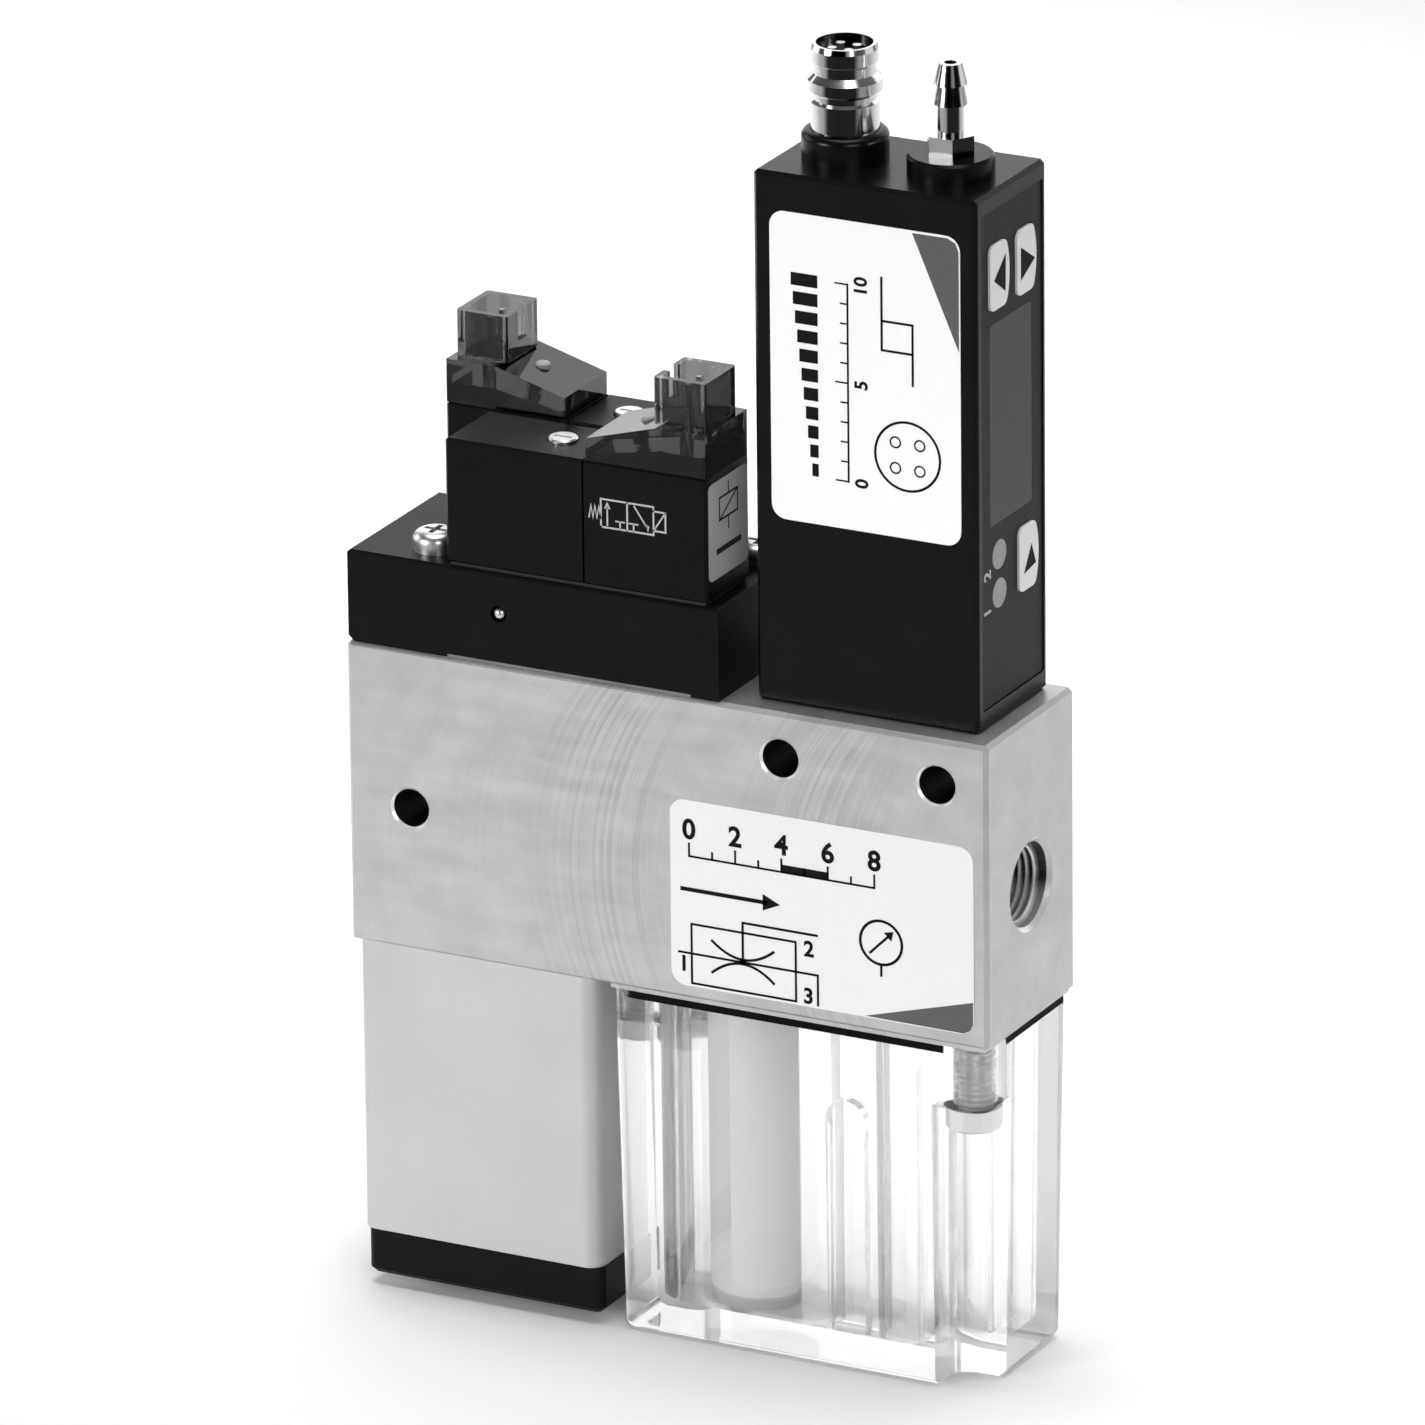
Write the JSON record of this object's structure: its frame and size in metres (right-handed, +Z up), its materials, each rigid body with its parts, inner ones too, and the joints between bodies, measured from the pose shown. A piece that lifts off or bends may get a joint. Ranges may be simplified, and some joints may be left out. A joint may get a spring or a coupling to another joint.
{
  "type": "vacuum ejector",
  "caption": "Compact vacuum ejector with solenoid valves on a manifold, a vacuum switch with a keypad, a silencer and a clear filter bowl under an aluminium body.",
  "frame": {"origin": "middle of the unit's footprint at the underside of the filter bowl, on which it stands", "axes": "+X along the body towards the vacuum port, +Y from the labelled front to the back, +Z up"},
  "size_m": [0.0806, 0.0221, 0.1538],
  "materials": {
    "body_block": "fine milled",
    "bore_plug": "bright zinc plate",
    "motive_nozzle": "turned",
    "receiver_tube": "satin anodised",
    "cartridge_seals": "moulded",
    "silencer_housing": "satin anodised",
    "silencer_insert": "sintered, porous",
    "silencer_cap": "fine moulded texture",
    "silencer_screws": "bright zinc plate",
    "filter_bowl": "clear moulding",
    "bowl_gasket": "moulded",
    "bowl_screws": "bright zinc plate",
    "filter_element": "sintered, porous",
    "filter_cap": "moulded",
    "valve_manifold": "fine moulded texture",
    "manifold_gasket": "cut sheet",
    "manifold_screws": "bright zinc plate",
    "gallery_balls": "plain",
    "switch_housing": "fine moulded texture",
    "keypad_panel": "embossed film",
    "display_window": "tinted, satin",
    "display_module": "moulded",
    "circuit_board": "lacquered",
    "led_lenses": "frosted",
    "pressure_sensor": "plain",
    "switch_seal": "moulded",
    "connector_shell": "bright nickel plate",
    "connector_insert": "moulded",
    "connector_contacts": "gold plated",
    "hose_nipple": "bright nickel plate",
    "body_label": "printed film",
    "switch_label": "printed film",
    "valve_body_front": "fine moulded texture",
    "valve_body_rear": "fine moulded texture",
    "valve_cap_front": "smoked clear moulding",
    "valve_cap_rear": "smoked clear moulding",
    "valve_pins_front": "gold plated",
    "valve_pins_rear": "gold plated",
    "valve_lamp_front": "frosted",
    "valve_lamp_rear": "frosted",
    "valve_seal_front": "moulded",
    "valve_seal_rear": "moulded",
    "valve_label_front": "printed film",
    "valve_label_rear": "printed film",
    "override_button_front": "moulded",
    "override_button_rear": "moulded",
    "key_up": "moulded",
    "key_down": "moulded",
    "key_mode": "moulded"
  },
  "bodies": {
    "body": {"body_block": "body_block", "bore_plug": "bore_plug", "motive_nozzle": "motive_nozzle", "receiver_tube": "receiver_tube", "cartridge_seals": "cartridge_seals", "silencer_housing": "silencer_housing", "silencer_insert": "silencer_insert", "silencer_cap": "silencer_cap", "silencer_screws": "silencer_screws", "filter_bowl": "filter_bowl", "bowl_gasket": "bowl_gasket", "bowl_screws": "bowl_screws", "filter_element": "filter_element", "filter_cap": "filter_cap", "valve_manifold": "valve_manifold", "manifold_gasket": "manifold_gasket", "manifold_screws": "manifold_screws", "gallery_balls": "gallery_balls", "switch_housing": "switch_housing", "keypad_panel": "keypad_panel", "display_window": "display_window", "display_module": "display_module", "circuit_board": "circuit_board", "led_lenses": "led_lenses", "pressure_sensor": "pressure_sensor", "switch_seal": "switch_seal", "connector_shell": "connector_shell", "connector_insert": "connector_insert", "connector_contacts": "connector_contacts", "hose_nipple": "hose_nipple", "body_label": "body_label", "switch_label": "switch_label", "valve_body_front": "valve_body_front", "valve_body_rear": "valve_body_rear", "valve_cap_front": "valve_cap_front", "valve_cap_rear": "valve_cap_rear", "valve_pins_front": "valve_pins_front", "valve_pins_rear": "valve_pins_rear", "valve_lamp_front": "valve_lamp_front", "valve_lamp_rear": "valve_lamp_rear", "valve_seal_front": "valve_seal_front", "valve_seal_rear": "valve_seal_rear", "valve_label_front": "valve_label_front", "valve_label_rear": "valve_label_rear"},
    "override_button_front": {"override_button_front": "override_button_front"},
    "override_button_rear": {"override_button_rear": "override_button_rear"},
    "key_up": {"key_up": "key_up"},
    "key_down": {"key_down": "key_down"},
    "key_mode": {"key_mode": "key_mode"}
  },
  "joints": [
    {"name": "key_up_press", "type": "slide", "parent": "body", "child": "key_up", "axis": [-1, 0, 0], "range_m": [0, 0.0003], "stiffness_N_per_m": 400},
    {"name": "key_down_press", "type": "slide", "parent": "body", "child": "key_down", "axis": [-1, 0, 0], "range_m": [0, 0.0003], "stiffness_N_per_m": 400},
    {"name": "key_mode_press", "type": "slide", "parent": "body", "child": "key_mode", "axis": [-1, 0, 0], "range_m": [0, 0.0003], "stiffness_N_per_m": 400},
    {"name": "override_button_front_press", "type": "slide", "parent": "body", "child": "override_button_front", "axis": [0, 0, -1], "range_m": [0, 0.0008], "stiffness_N_per_m": 400},
    {"name": "override_button_rear_press", "type": "slide", "parent": "body", "child": "override_button_rear", "axis": [0, 0, -1], "range_m": [0, 0.0008], "stiffness_N_per_m": 400}
  ]
}
